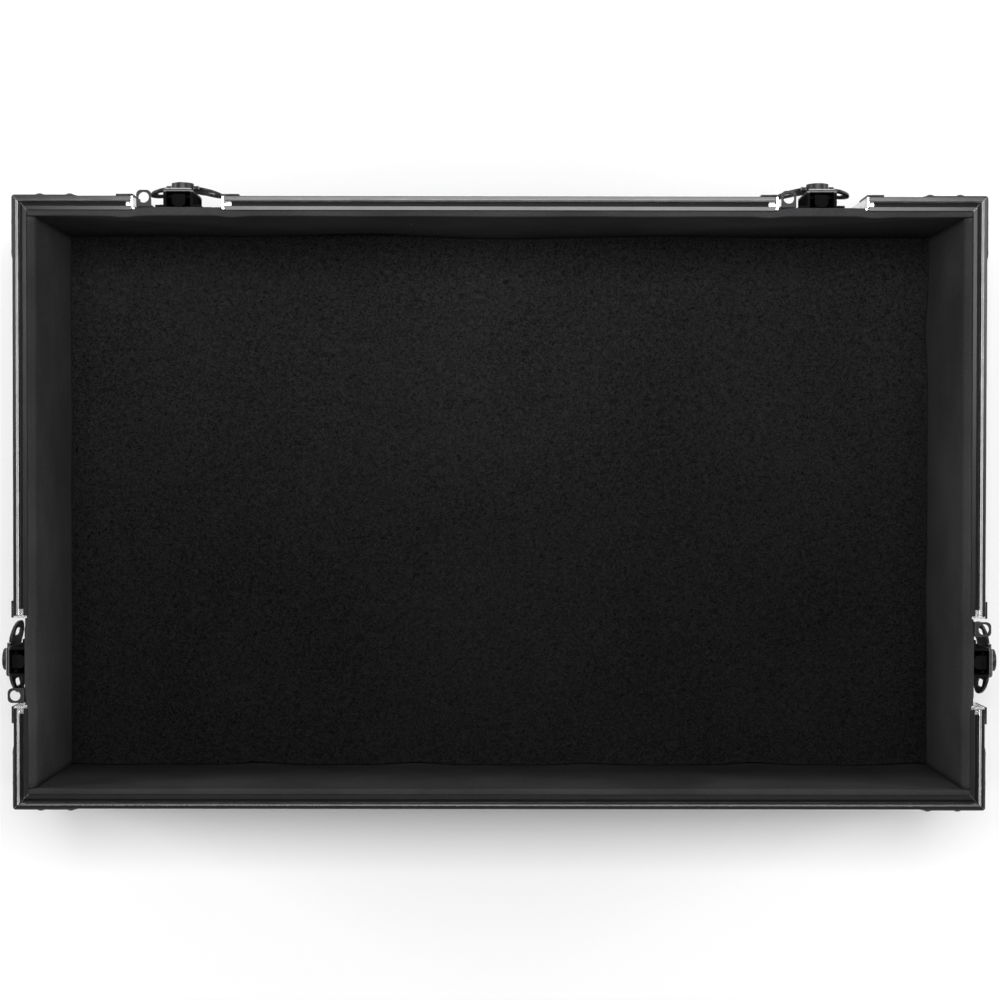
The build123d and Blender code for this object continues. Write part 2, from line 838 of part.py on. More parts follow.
def rivets_on_latches():
    flange = make_rivet(panel_back)
    foot = make_rivet(
        housing_foot_wall + dish_wall,
        housing_rivet_radius,
        housing_rivet_head_radius,
        housing_rivet_head_height,
    )
    bracket = make_rivet(eye_bracket_wall + dish_wall)
    placed = []
    for wall, index in latch_names:
        place = latch_place(wall, walls[wall][3][index])
        placed += [flange.moved(place * Location((x, 0, z))) for x, z in latch_rivet_points]
        foot_y = pocket_face - housing_foot_wall
        placed += [foot.moved(place * Location((x, foot_y, z))) for x, z in housing_rivet_points]
        x, z = eye_rivet_point
        placed.append(bracket.moved(place * Location((x, pocket_face - eye_bracket_wall, z))))
    return placed


def build():
    os.makedirs("parts", exist_ok=True)

    save("bottom_panel", make_bottom_panel())
    for wall in walls:
        save(f"{wall}_panel", make_wall_panel(wall).moved(wall_place(wall)))
        save(f"{wall}_bottom_edge", make_bottom_edge(wall).moved(wall_place(wall)))
        save(f"{wall}_foam_lining", make_foam(wall).moved(wall_place(wall)))
        spans = rim_spans(wall)
        for number, (start, end, mitre_start, mitre_end) in enumerate(spans, 1):
            name = f"{wall}_rim" if len(spans) == 1 else f"{wall}_rim_{number}"
            rim = make_rim(wall, start, end, mitre_start, mitre_end)
            save(name, rim.moved(wall_place(wall)))
    save("floor_mat", make_mat())

    upright, ball_corner, brace = make_upright_edge(), make_ball_corner(), make_brace()
    for corner, turn in corner_turns.items():
        save(f"{corner}_upright_edge", upright.moved(corner_place(turn)))
        save(f"{corner}_ball_corner", ball_corner.moved(corner_place(turn)))
    save("rim_corner_braces", *[brace.moved(corner_place(turn)) for turn in corner_turns.values()])
    save("case_rivets", *rivets_on_walls())

    foot, screw = make_foot(), make_foot_screw()
    save("rubber_feet", *[foot.moved(Location((x, y, 0))) for x, y in foot_points()])
    save("foot_screws", *[screw.moved(Location((x, y, 0))) for x, y in foot_points()])

    latch_pieces = {
        "dish": make_dish(),
        "housing": make_housing(),
        "spindle": make_spindle(),
        "claw": make_claw(),
        "lever": make_lever(),
        "lever_pin": make_lever_pin(),
    }
    padlock_eye = make_padlock_eye()
    places = {
        name: latch_place(wall, walls[wall][3][index])
        for (wall, index), name in latch_names.items()
    }
    for latch, place in places.items():
        for piece, shape in latch_pieces.items():
            save(f"{latch}_latch_{piece}", shape.moved(place))
    save("padlock_eyes", *[padlock_eye.moved(place) for place in places.values()])
    save("latch_rivets", *rivets_on_latches())


build()
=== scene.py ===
import math

import bpy
from mathutils import Matrix, Vector, noise


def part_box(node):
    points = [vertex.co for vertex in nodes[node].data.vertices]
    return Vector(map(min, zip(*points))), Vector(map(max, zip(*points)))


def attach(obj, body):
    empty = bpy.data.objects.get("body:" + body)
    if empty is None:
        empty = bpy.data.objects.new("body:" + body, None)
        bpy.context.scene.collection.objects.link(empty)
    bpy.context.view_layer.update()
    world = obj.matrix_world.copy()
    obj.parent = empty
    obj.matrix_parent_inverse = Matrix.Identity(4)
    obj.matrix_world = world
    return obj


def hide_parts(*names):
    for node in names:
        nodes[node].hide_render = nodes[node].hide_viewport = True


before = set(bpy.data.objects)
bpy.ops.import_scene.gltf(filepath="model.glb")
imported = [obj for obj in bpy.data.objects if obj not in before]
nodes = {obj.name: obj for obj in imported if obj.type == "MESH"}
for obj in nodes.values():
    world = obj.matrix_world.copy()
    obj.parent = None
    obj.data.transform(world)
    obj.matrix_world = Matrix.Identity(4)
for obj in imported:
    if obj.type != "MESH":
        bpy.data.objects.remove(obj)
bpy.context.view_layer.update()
mm = 0.001


# Shader maths: a wrapped socket takes + - * / and comparisons, and each adds its node.

class Wire:
    def __init__(self, finish, socket):
        self.finish = finish
        self.socket = socket

    def maths(self, operation, *others):
        values = dict(enumerate((self, *others)))
        return self.finish.node("ShaderNodeMath", {"operation": operation}, values)[0]

    def __add__(self, other):
        return self.maths("ADD", other)

    def __radd__(self, other):
        return self.maths("ADD", other)

    def __sub__(self, other):
        return self.maths("SUBTRACT", other)

    def __rsub__(self, other):
        return (self * -1).maths("ADD", other)

    def __mul__(self, other):
        return self.maths("MULTIPLY", other)

    def __rmul__(self, other):
        return self.maths("MULTIPLY", other)

    def __truediv__(self, other):
        return self.maths("DIVIDE", other)

    def __gt__(self, other):
        return self.maths("GREATER_THAN", other)

    def __lt__(self, other):
        return self.maths("LESS_THAN", other)

    def size(self):
        return self.maths("ABSOLUTE")

    def least(self, other):
        return self.maths("MINIMUM", other)

    def most(self, other):
        return self.maths("MAXIMUM", other)

    def band(self, low, high):  # 0 below low, 1 above high, smooth between
        values = {"Value": self, "From Min": low, "From Max": high}
        settings = {"interpolation_type": "SMOOTHSTEP", "clamp": True}
        return self.finish.node("ShaderNodeMapRange", settings, values)[0]


class Graph:
    def __init__(self, tree):
        self.tree = tree

    def node(self, kind, settings=None, values=None):  # returns the node's outputs as wires
        made = self.tree.nodes.new(kind)
        for key, value in (settings or {}).items():
            setattr(made, key, value)
        for key, value in (values or {}).items():
            self.feed(made.inputs[key], value)
        return [Wire(self, socket) for socket in made.outputs]

    def feed(self, socket, value):
        if isinstance(value, Wire):
            self.tree.links.new(value.socket, socket)
        elif isinstance(value, tuple) and socket.type == "RGBA" and len(value) == 3:
            socket.default_value = (*value, 1)
        else:
            socket.default_value = value

    def place(self):  # the piece's own coordinates, in millimetres
        made = self.node("ShaderNodeTexCoord")[3]
        return self.node("ShaderNodeVectorMath", {"operation": "SCALE"}, {0: made, "Scale": 1000.0})[0]

    def rays(self):  # 1 for a ray straight from the camera or through glass, and 1 for a mirrored one
        paths = {wire.socket.name: wire for wire in self.node("ShaderNodeLightPath")}
        return paths["Is Camera Ray"].most(paths["Is Transmission Ray"]), paths["Is Glossy Ray"]

    def split(self, vector):
        return self.node("ShaderNodeSeparateXYZ", None, {0: vector})

    def near(self, value, centre, reach):  # 1 at centre, 0 from reach away
        return (value - centre).size().band(reach, 0.0)

    def edges(self, radius):  # how far a rounded normal turns away from the true one: bright on sharp edges
        rounded = self.node("ShaderNodeBevel", {"samples": 4}, {"Radius": radius})[0]
        true = self.node("ShaderNodeNewGeometry")[3]
        return 1 - self.node("ShaderNodeVectorMath", {"operation": "DOT_PRODUCT"}, {0: rounded, 1: true})[1]

    def stretch(self, vector, factors):
        return self.node("ShaderNodeVectorMath", {"operation": "MULTIPLY"}, {0: vector, 1: factors})[0]

    def grain(self, vector, scale, detail=2.0, rough=0.5, distortion=0.0):
        values = {
            "Vector": vector,
            "Scale": scale,
            "Detail": detail,
            "Roughness": rough,
            "Distortion": distortion,
        }
        return self.node("ShaderNodeTexNoise", {"noise_dimensions": "3D"}, values)[0]

    def cells(self, vector, scale, feature="F1"):  # how far from the cell's point or edge, and its own colour
        return self.node("ShaderNodeTexVoronoi", {"feature": feature}, {"Vector": vector, "Scale": scale})[:2]

    def mix(self, factor, a, b):
        made = self.tree.nodes.new("ShaderNodeMix")
        made.data_type = "RGBA"
        for key, value in (("Factor_Float", factor), ("A_Color", a), ("B_Color", b)):
            self.feed(next(s for s in made.inputs if s.identifier == key), value)
        return Wire(self, next(s for s in made.outputs if s.identifier == "Result_Color"))

    def bump(self, height, strength, distance):
        values = {"Height": height, "Strength": strength, "Distance": distance}
        return self.node("ShaderNodeBump", None, values)[0]


class Finish(Graph):
    def __init__(self, name):
        self.material = bpy.data.materials.new(name)
        self.material.use_nodes = True
        super().__init__(self.material.node_tree)
        self.shader = self.tree.nodes["Principled BSDF"]

    def set(self, **values):  # sockets of the shader, with _ for a space
        for key, value in values.items():
            self.feed(self.shader.inputs[key.replace("_", " ")], value)
        return self


def grey(value, blue=0.0):
    return (value, value, value * (1 + blue))


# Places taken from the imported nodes, in millimetres

def corner(node, end, axis):
    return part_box(node)[end][axis] / mm


outer = {
    "front": corner("front_rim_2", 0, 1),
    "back": corner("back_rim", 1, 1),
    "right": corner("right_rim_1", 1, 0),
    "left": corner("left_rim_1", 0, 0),
}
inwards = {"front": 1, "right": -1, "back": -1, "left": 1}  # along y for front and back, x for right and left
rimTop = corner("back_rim", 1, 2)
# Where the rim is broken for a latch: lowest and highest place, along x in front and along y at the sides
latchGaps = {
    "front": [(corner(f"front_rim_{n}", 1, 0), corner(f"front_rim_{n + 1}", 0, 0)) for n in (1, 2)],
    "right": [(corner("right_rim_1", 1, 1), corner("right_rim_2", 0, 1))],
    "left": [(corner("left_rim_2", 1, 1), corner("left_rim_1", 0, 1))],
    "back": [],
}


def wallPlace(finish, place, wall):  # how deep from the wall's outer face, how far along it, and how high
    x, y, z = finish.split(place)
    across, along = (y, x) if wall in ("front", "back") else (x, y)
    return (across - outer[wall]) * inwards[wall], along, z


def underRim(z, none, full):  # 0 at the first height under the rim's top and 1 at the second
    return z.band(rimTop - none, rimTop - full)


# Camera, fitted to the corners of the rim and the floor

view = {
    "lens": 63.3,
    "sensor": 36.0,
    "clip": (0.05, 50),
    "place": (1.8 * mm, -17.6 * mm, 1268.7 * mm),
    "look": (-0.00172, 0.01458, -0.99989),
    "up": (0.00135, -0.99989, -0.01458),
}


def makeCamera():
    data = bpy.data.cameras.new("photoCamera")
    data.lens = view["lens"]
    data.sensor_width = view["sensor"]
    data.clip_start, data.clip_end = view["clip"]
    camera = bpy.data.objects.new("photoCamera", data)
    bpy.context.scene.collection.objects.link(camera)
    back = -Vector(view["look"]).normalized()
    right = Vector(view["up"]).cross(back).normalized()
    turn = Matrix((right, back.cross(right), back)).transposed().to_4x4()
    camera.matrix_world = Matrix.Translation(view["place"]) @ turn
    bpy.context.scene.camera = camera


makeCamera()
print("camera made")


# Lamps: a soft box overhead and towards the front wall, and low strips that light the rim's bevels

lamps = {
    "keyBox": {"size": (1.3, 0.62), "place": (-0.06, -0.43, 1.75), "aim": (-0.06, -0.43, 0), "power": 23},
    "leftStrip": {"size": (1.2, 0.26), "place": (-1.6, 0.03, 0.6), "aim": (0, 0, 0.12), "power": 20},
    "rightStrip": {"size": (1.2, 0.26), "place": (1.6, 0.03, 0.6), "aim": (0, 0, 0.12), "power": 20},
    "backStrip": {"size": (1.6, 0.09), "place": (0, 1.6, 0.46), "aim": (0, 0, 0.12), "power": 6},
    "frontStrip": {"size": (1.8, 0.2), "place": (0, -1.7, 0.3), "aim": (0, 0, 0.12), "power": 16},
}


def makeLamps():
    for name, lamp in lamps.items():
        data = bpy.data.lights.new(name, "AREA")
        data.shape = "RECTANGLE"
        data.size, data.size_y = lamp["size"]
        data.energy = lamp["power"]
        piece = bpy.data.objects.new(name, data)
        bpy.context.scene.collection.objects.link(piece)
        away = Vector(lamp["place"]) - Vector(lamp["aim"])
        piece.location = lamp["place"]
        piece.rotation_euler = away.to_track_quat("Z", "Y").to_euler()


# The room is white near the horizon and dims towards the ceiling. It lights the object less than it shows.
# The floor takes the shadow near the object and turns into the white room further away: it starts to at the
# first of farFrom's two distances and is all white at the second, in millimetres.

stage = {
    "floorGreys": (0.87, 0.89),
    "floorMottle": 0.004,
    "floorRough": 0.9,
    "floorHalf": 8.0,
    "farFrom": (550.0, 1500.0),
    "roomGlow": 0.14,
    "ceiling": (0.3, 0.7),
    "overhead": 0.4,
}


def makeWorld():
    world = bpy.data.worlds.new("studio")
    bpy.context.scene.world = world
    world.use_nodes = True
    graph = Graph(world.node_tree)
    background = graph.tree.nodes["Background"]
    background.inputs["Color"].default_value = (1, 1, 1, 1)
    direct, mirrored = graph.rays()
    up = graph.split(graph.node("ShaderNodeTexCoord")[0])[2]
    low = 1 - up.band(*stage["ceiling"]) * (1 - stage["overhead"])
    seen = direct.most(mirrored * low)
    graph.feed(background.inputs["Strength"], seen * (1 - stage["roomGlow"]) + stage["roomGlow"])


def makeFloor():
    mesh = bpy.data.meshes.new("studioFloor")
    half = stage["floorHalf"]
    corners = [(-half, -half, 0), (half, -half, 0), (half, half, 0), (-half, half, 0)]
    mesh.from_pydata(corners, [], [(0, 1, 2, 3)])
    floor = bpy.data.objects.new("studioFloor", mesh)
    bpy.context.scene.collection.objects.link(floor)
    paint = Finish("studioFloorPaint")
    place = paint.place()
    mottle = paint.grain(place, stage["floorMottle"])
    direct, mirrored = paint.rays()
    away = paint.node("ShaderNodeVectorMath", {"operation": "LENGTH"}, {0: place})[1]
    far = away.band(*stage["farFrom"]) * direct.most(mirrored)
    near = paint.mix(mottle, *[grey(value) for value in stage["floorGreys"]])
    paint.set(
        Base_Color=paint.mix(far, near, grey(0.0)),
        Emission_Color=paint.mix(far, grey(0.0), grey(1.0)),
        Emission_Strength=1.0,
        Roughness=stage["floorRough"],
        Specular_IOR_Level=0.0,
    )
    floor.data.materials.append(paint.material)


makeLamps()
makeWorld()
makeFloor()
print("stage and lamps made")


# In the finishes below, noises are (scale for a millimetre, detail, roughness), bands are where a noise or a
# height starts and stops to count, and bumps are (strength, height in metres).

# Black anodised rim: bare at the ridges that the lid rubs, and where its groove was cut open beside a latch

rim = {
    "black": 0.041,
    "bare": 0.62,
    # Painted shade: the darker black of the groove's floor and of the ridge's inner face
    "grooveShadeBlack": 0.016,
    "rough": 0.2,
    "streakRough": 0.1,
    "dirtRough": 0.3,
    "streak": (1.0, 4, 0.6),
    "streakStretch": (0.06, 0.06, 0.5),
    "patch": (0.09, 3, 0.6),
    "patchBand": (0.3, 0.7),
    "patchLeast": 0.7,
    "patchShare": 0.6,
    "bump": (0.06, 0.0003),
    "edges": ((2.3, 0.1), (3.5, 0.16), (6.3, 0.1)),  # how deep from the outer face, how worn
    "edgeReach": 0.3,
    "notchLength": 3.8,
    "groove": (3.4, 6.4),
    "grooveShadeAndDirt": (1.4, 2.4),  # how far under the top it starts and is full
    "wornTop": (6.5, 5.5),  # how far under the top wear ends and is full
    "innerEdge": 9.0,
    "mitreReach": 0.5,
    # Painted highlight along the mitre seams: how wide and how strong
    "mitreHighlightShare": 0.5,
}


def rimFinish(wall):
    finish = Finish(f"{wall}RimBlack")
    place = finish.place()
    depth, along, z = wallPlace(finish, place, wall)
    top = underRim(z, *rim["wornTop"])
    streak = finish.grain(finish.stretch(place, rim["streakStretch"]), *rim["streak"])
    patch = finish.grain(place, *rim["patch"])
    wear = 0.0
    for edge, share in rim["edges"]:
        wear = finish.near(depth, edge, rim["edgeReach"]) * share + wear
    ends = ("left", "right") if wall in ("front", "back") else ("front", "back")
    first, last = [outer[end] for end in ends]
    fromEnd = (last - first) / 2 - (along - (first + last) / 2).size()
    # Painted highlight, done as bare metal: a thin bright line along each corner's mitre seam
    wear = wear.most(finish.near(depth - fromEnd, 0.0, rim["mitreReach"]) * rim["mitreHighlightShare"])
    wear = wear * top * (patch.band(*rim["patchBand"]) * rim["patchShare"] + rim["patchLeast"])
    notch = 0.0
    for low, high in latchGaps[wall]:
        middle, half = (low + high) / 2, (high - low) / 2 + rim["notchLength"]
        notch = ((along - middle).size() < half) + notch
    # Painted shade: the groove's floor and the ridge's inner face are darkened where shade falls, and made
    # rougher
    inGroove = (depth > rim["groove"][0]) * (depth < rim["groove"][1])
    shadeAndDirt = (inGroove * underRim(z, *rim["grooveShadeAndDirt"])).most(depth > rim["innerEdge"])
    if latchGaps[wall]:
        wear = wear.most(notch * inGroove * top)
    black = finish.mix(shadeAndDirt, grey(rim["black"]), grey(rim["grooveShadeBlack"]))
    colour = finish.mix(wear.least(1.0), black, grey(rim["bare"]))
    rough = rim["rough"] + streak * rim["streakRough"] + shadeAndDirt * (1 - wear.least(1.0)) * rim["dirtRough"]
    finish.set(Base_Color=colour, Roughness=rough, Metallic=1.0, Normal=finish.bump(streak, *rim["bump"]))
    return finish.material


# Black edge extrusions, braces, ball corners, dishes and spindles, rubbed bright on their edges

satin = {"black": 0.04, "bare": 0.5, "rough": 0.38, "wearRadius": 0.0004, "metallic": 1.0}
painted = {"black": 0.012, "bare": 0.4, "rough": 0.4, "wearRadius": 0.0003, "metallic": 0.0, "specular": 0.28}
pressed = {"black": 0.012, "bare": 0.8, "rough": 0.3, "wearRadius": 0.0003, "metallic": 0.0, "specular": 0.12}
blackened = {"black": 0.034, "bare": 0.5, "rough": 0.36, "wearRadius": 0.0003, "metallic": 1.0}
worn = {
    "patch": (0.12, 4, 0.65),
    "patchBand": (0.38, 0.68),
    "patchRough": 0.12,
    "fine": (2.2, 2, 0.6),
    "edgeBand": (0.03, 0.22),
    "edgeRough": 0.1,
    "shades": (0.8, 1.25),
    "bump": (0.05, 0.0002),
}
pocketEnd = {"at": 29.5, "reach": 1.0, "deep": 0.3}  # a dish's bright end walls, from the latch's middle


def endWalls(finish, place, wall):
    depth, along, z = wallPlace(finish, place, wall)
    inside = depth > pocketEnd["deep"]
    ends = 0.0
    for low, high in latchGaps[wall]:
        off = (along - (low + high) / 2).size()
        ends = ((off - pocketEnd["at"]).size() < pocketEnd["reach"]) * inside + ends
    return ends


def wornFinish(name, look, wall=None):
    finish = Finish(name)
    place = finish.place()
    patch = finish.grain(place, *worn["patch"])
    fine = finish.grain(place, *worn["fine"])
    wear = finish.edges(look["wearRadius"]).band(*worn["edgeBand"]) * patch.band(*worn["patchBand"])
    if wall:
        wear = wear.most(endWalls(finish, place, wall))
    black = finish.mix(patch, *[grey(look["black"] * share) for share in worn["shades"]])
    colour = finish.mix(wear, black, grey(look["bare"]))
    rough = look["rough"] + patch * worn["patchRough"] - wear * worn["edgeRough"]
    finish.set(
        Base_Color=colour,
        Roughness=rough,
        Metallic=wear.most(look["metallic"]),
        Specular_IOR_Level=look.get("specular", 0.5),
        Normal=finish.bump(fine, *worn["bump"]),
    )
    return finish.material


# Latch housings and claws: a dark metal plate, painted light grey on its inner face near the top, with a
# painted highlight of bare metal along its outer top edge, and a channel and claw behind it painted
# near-black as shade.
# Depths are from the wall's outer face, so what stands out of the wall is below 0.

channel = {
    "plateBlack": 0.026,
    # Painted light: the lighter grey of the plate's inner face near the top
    "innerLitGrey": 0.1,
    "innerFrom": -3.9,
    "innerTop": (13.0, 2),
    # Painted shade: the near-black of the channel and claw behind the plate
    "deepShadeBlack": 0.008,
    "deepRough": 0.8,
    "deepFrom": (-3.2, -2.6),
    "edge": -4.7,
    "edgeTop": -2.7,
    # Painted highlight: how strong the bare metal along the plate's outer top edge is
    "edgeHighlightShare": 0.55,
    "patch": (0.3, 4, 0.65),
    "patchBand": (0.3, 0.6),
    "patchLeast": 0.6,
    "patchShare": 0.4,
    "patchRough": 0.1,
    "bump": (0.05, 0.0002),
}


def channelFinish(wall):
    finish = Finish(f"{wall}LatchBlack")
    place = finish.place()
    depth, along, z = wallPlace(finish, place, wall)
    patch = finish.grain(place, *channel["patch"])
    deep = depth.band(*channel["deepFrom"])
    # Painted highlight: bare metal in patches along the plate's outer top edge
    edge = (depth < channel["edge"]) * (z > rimTop + channel["edgeTop"])
    highlightPatches = patch.band(*channel["patchBand"]) * channel["patchShare"] + channel["patchLeast"]
    wear = edge * highlightPatches * channel["edgeHighlightShare"]
    # Painted light: the plate's inner face is lighter near the top, where light falls
    inner = (depth > channel["innerFrom"]) * underRim(z, *channel["innerTop"])
    plate = finish.mix(inner, grey(channel["plateBlack"]), grey(channel["innerLitGrey"]))
    # Painted shade: everything behind the plate is near-black and matt
    black = finish.mix(deep, plate, grey(channel["deepShadeBlack"]))
    colour = finish.mix(wear, black, grey(painted["bare"]))
    rough = painted["rough"] + deep * (channel["deepRough"] - painted["rough"])
    rough = rough + patch * channel["patchRough"]
    finish.set(
        Base_Color=colour,
        Roughness=rough,
        Metallic=wear.most(1 - deep),
        Specular_IOR_Level=0.0,
        Normal=finish.bump(patch, *channel["bump"]),
    )
    return finish.material


# Zinc plate: dull grey with a faint mottle

zinc = {
    "shades": (0.3, 0.5),
    "blue": -0.03,
    "rough": 0.34,
    "mottle": (0.35, 4, 0.6),
    "mottleBand": (0.3, 0.7),
    "mottleRough": 0.15,
    "bump": (0.05, 0.0002),
}


def zincFinish():
    finish = Finish("zincPlate")
    place = finish.place()
    mottle = finish.grain(place, *zinc["mottle"])
    shades = [grey(value, zinc["blue"]) for value in zinc["shades"]]
    colour = finish.mix(mottle.band(*zinc["mottleBand"]), *shades)
    rough = zinc["rough"] + mottle * zinc["mottleRough"]
    finish.set(Base_Color=colour, Roughness=rough, Metallic=1.0, Normal=finish.bump(mottle, *zinc["bump"]))
    return finish.material


# Laminated plywood: small uneven cells pressed into black film, about one pitch (in millimetres) wide

laminate = {
    "black": 0.017,
    "shades": (0.85, 1.3),
    "rough": 0.42,
    "scuff": (0.03, 4, 0.6),
    "scuffRough": 0.12,
    "pitch": 3.2,
    "dimpleBand": (0.02, 0.12),
    "bump": (0.35, 0.0006),
}


def laminateFinish():
    finish = Finish("blackLaminate")
    place = finish.place()
    fromEdge = finish.cells(place, 1 / laminate["pitch"], "DISTANCE_TO_EDGE")[0]
    scuff = finish.grain(place, *laminate["scuff"])
    colour = finish.mix(scuff, *[grey(laminate["black"] * share) for share in laminate["shades"]])
    rough = laminate["rough"] + scuff * laminate["scuffRough"]
    dimple = finish.bump(fromEdge.band(*laminate["dimpleBand"]), *laminate["bump"])
    finish.set(Base_Color=colour, Roughness=rough, Normal=dimple)
    return finish.material


# Rubber feet: matt black with some dust

rubber = {
    "shades": (0.024, 0.048),
    "rough": 0.75,
    "dust": (0.5, 4, 0.7),
    "dustBand": (0.45, 0.8),
    "dustRough": 0.15,
    "bump": (0.2, 0.0004),
}


def rubberFinish():
    finish = Finish("blackRubber")
    place = finish.place()
    dust = finish.grain(place, *rubber["dust"])
    colour = finish.mix(dust.band(*rubber["dustBand"]), *[grey(value) for value in rubber["shades"]])
    rough = rubber["rough"] + dust * rubber["dustRough"]
    finish.set(Base_Color=colour, Roughness=rough, Normal=finish.bump(dust, *rubber["bump"]))
    return finish.material


# Foam sheet: matt, with a fine closed-cell grain and a little lint. Its grey carries painted shade and light:
# darker towards the bottom, and on the front wall darker still with a lighter top edge. Its heights are
# counted down from the rim's top.

foamLook = {
    "shades": (0.023, 0.041),
    "blue": 0.04,
    # Painted shade and light: factors on the grey low, in the middle and at the top of the side walls and of
    # the front wall
    "walls": {"low": 0.74, "middle": 1.0, "top": 1.0, "topFrom": 20},
    "front": {"low": 0.5, "middle": 0.88, "top": 1.3, "topFrom": 4},
    "frontFrom": (-181.0, -185.0),
    "middleFrom": (105, 30),
    "topAt": 2,
    "rough": 0.88,
    "cell": (1.1, 3, 0.65),
    "cellShare": 0.55,
    "cellRough": 0.08,
    "patch": (0.018, 3, 0.5),
    "patchShare": 0.45,
    "shadeBand": (0.3, 0.7),
    "lint": 0.5,
    "lintStretch": (0.05, 0.05, 0.03),
    "lintFrom": 0.9,
    "lintSize": 0.016,
    "bump": (0.3, 0.0003),
}


def foamFinish():
    finish = Finish("blackFoam")
    place = finish.place()
    cell = finish.grain(place, *foamLook["cell"])
    patch = finish.grain(place, *foamLook["patch"])
    fromPoint, ownColour = finish.cells(finish.stretch(place, foamLook["lintStretch"]), 1.0)
    chosen = finish.split(ownColour)[0] > foamLook["lintFrom"]
    lint = (fromPoint < foamLook["lintSize"]) * chosen
    shade = (cell * foamLook["cellShare"] + patch * foamLook["patchShare"]).band(*foamLook["shadeBand"])
    x, y, z = finish.split(place)
    # Painted shade and light: the walls darker low down, the front wall darker still with a lighter top edge
    paintedShadings = []
    for look in (foamLook["walls"], foamLook["front"]):
        middle = underRim(z, *foamLook["middleFrom"]) * (look["middle"] - look["low"])
        top = underRim(z, look["topFrom"], foamLook["topAt"]) * (look["top"] - look["middle"])
        paintedShadings.append(top + middle + look["low"])
    paintedShading = paintedShadings[0] + (paintedShadings[1] - paintedShadings[0]) * y.band(*foamLook["frontFrom"])
    most = foamLook["front"]["top"]
    colour = finish.mix(shade, *[grey(value * most, foamLook["blue"]) for value in foamLook["shades"]])
    colour = finish.mix(paintedShading / most, grey(0.0), colour)
    colour = finish.mix(lint, colour, grey(foamLook["lint"]))
    finish.set(
        Base_Color=colour,
        Roughness=foamLook["rough"] + cell * foamLook["cellRough"],
        Specular_IOR_Level=0.0,
        Normal=finish.bump(cell, *foamLook["bump"]),
    )
    return finish.material


# Felt: needled fibres, darker between them, with painted light that makes it lighter towards the front wall
# and darker towards the back

felt = {
    "shades": (0.003, 0.02),
    "blue": 0.05,
    # Painted light: how much the grey is raised at the front wall and lowered at the back
    "paintedLightShares": (1.5, 0.8),
    "paintedLightFrom": (-200.0, 120.0),
    "rough": 0.92,
    "sheen": 0.02,
    "sheenRough": 0.5,
    "fibre": (0.42, 5, 0.75, 1.2),  # the last is how far the noise is bent
    "speck": (1.3, 4, 0.8),
    "patch": (0.012, 3, 0.5),
    "shadeShares": (0.5, 0.45, 0.05),
    "shadeBand": (0.39, 0.61),
    "bumpShares": (0.6, 0.4),
    "bump": (0.6, 0.0006),
}


def feltFinish():
    finish = Finish("blackFelt")
    place = finish.place()
    fibre = finish.grain(place, *felt["fibre"])
    speck = finish.grain(place, *felt["speck"])
    patch = finish.grain(place, *felt["patch"])
    ofFibre, ofSpeck, ofPatch = felt["shadeShares"]
    shade = (fibre * ofFibre + speck * ofSpeck + patch * ofPatch).band(*felt["shadeBand"])
    # Painted light: the felt's grey goes from lighter at the front wall to darker at the back
    paintedLightAcross = finish.split(place)[1].band(*felt["paintedLightFrom"])
    front, back = [
        finish.mix(shade, *[grey(value * share, felt["blue"]) for value in felt["shades"]])
        for share in felt["paintedLightShares"]
    ]
    highFibre, highSpeck = felt["bumpShares"]
    finish.set(
        Base_Color=finish.mix(paintedLightAcross, front, back),
        Roughness=felt["rough"],
        Specular_IOR_Level=0.0,
        Sheen_Weight=felt["sheen"],
        Sheen_Roughness=felt["sheenRough"],
        Normal=finish.bump(fibre * highFibre + speck * highSpeck, *felt["bump"]),
    )
    return finish.material


rims = {wall: rimFinish(wall) for wall in inwards}
satinBlack = wornFinish("satinAluminium", satin)
paintedBlack = wornFinish("paintedSteel", painted)
dishes = {wall: wornFinish(f"{wall}PressedSteel", pressed, wall) for wall in inwards if latchGaps[wall]}
spindleBlack = wornFinish("blackenedSteel", blackened)
channels = {wall: channelFinish(wall) for wall in inwards if latchGaps[wall]}
finishes = {
    "zinc": zincFinish(),
    "laminate": laminateFinish(),
    "rubber": rubberFinish(),
    "foam": foamFinish(),
    "felt": feltFinish(),
}
print("finishes made")


def finishOf(name):
    wall = name.split("_")[0]
    if "_rim" in name and "brace" not in name:
        return rims[wall]
    if name.endswith("_panel"):
        return finishes["laminate"]
    if name.endswith("_edge"):
        return satinBlack
    if name == "rubber_feet":
        return finishes["rubber"]
    if name == "foot_screws" or name.endswith("_pin"):
        return finishes["zinc"]
    if "foam" in name:
        return finishes["foam"]
    if name == "floor_mat":
        return finishes["felt"]
    if name.endswith(("_claw", "_housing")):
        return channels[wall]
    if name.endswith("_dish"):
        return dishes[wall]
    if name.endswith("_spindle"):
        return spindleBlack
    return paintedBlack


# Hard pieces keep their CAD meshes. Modifiers weld them, round their edges and smooth their shading.

rounding = {"weld": 0.002 * mm, "width": 0.22 * mm, "segments": 2, "angle": 32, "flat": 0.5}
roundingOf = {"rim": 0.12 * mm, "panel": 0.4 * mm, "edge": 0.25 * mm, "feet": 0.8 * mm, "spindle": 0.3 * mm}


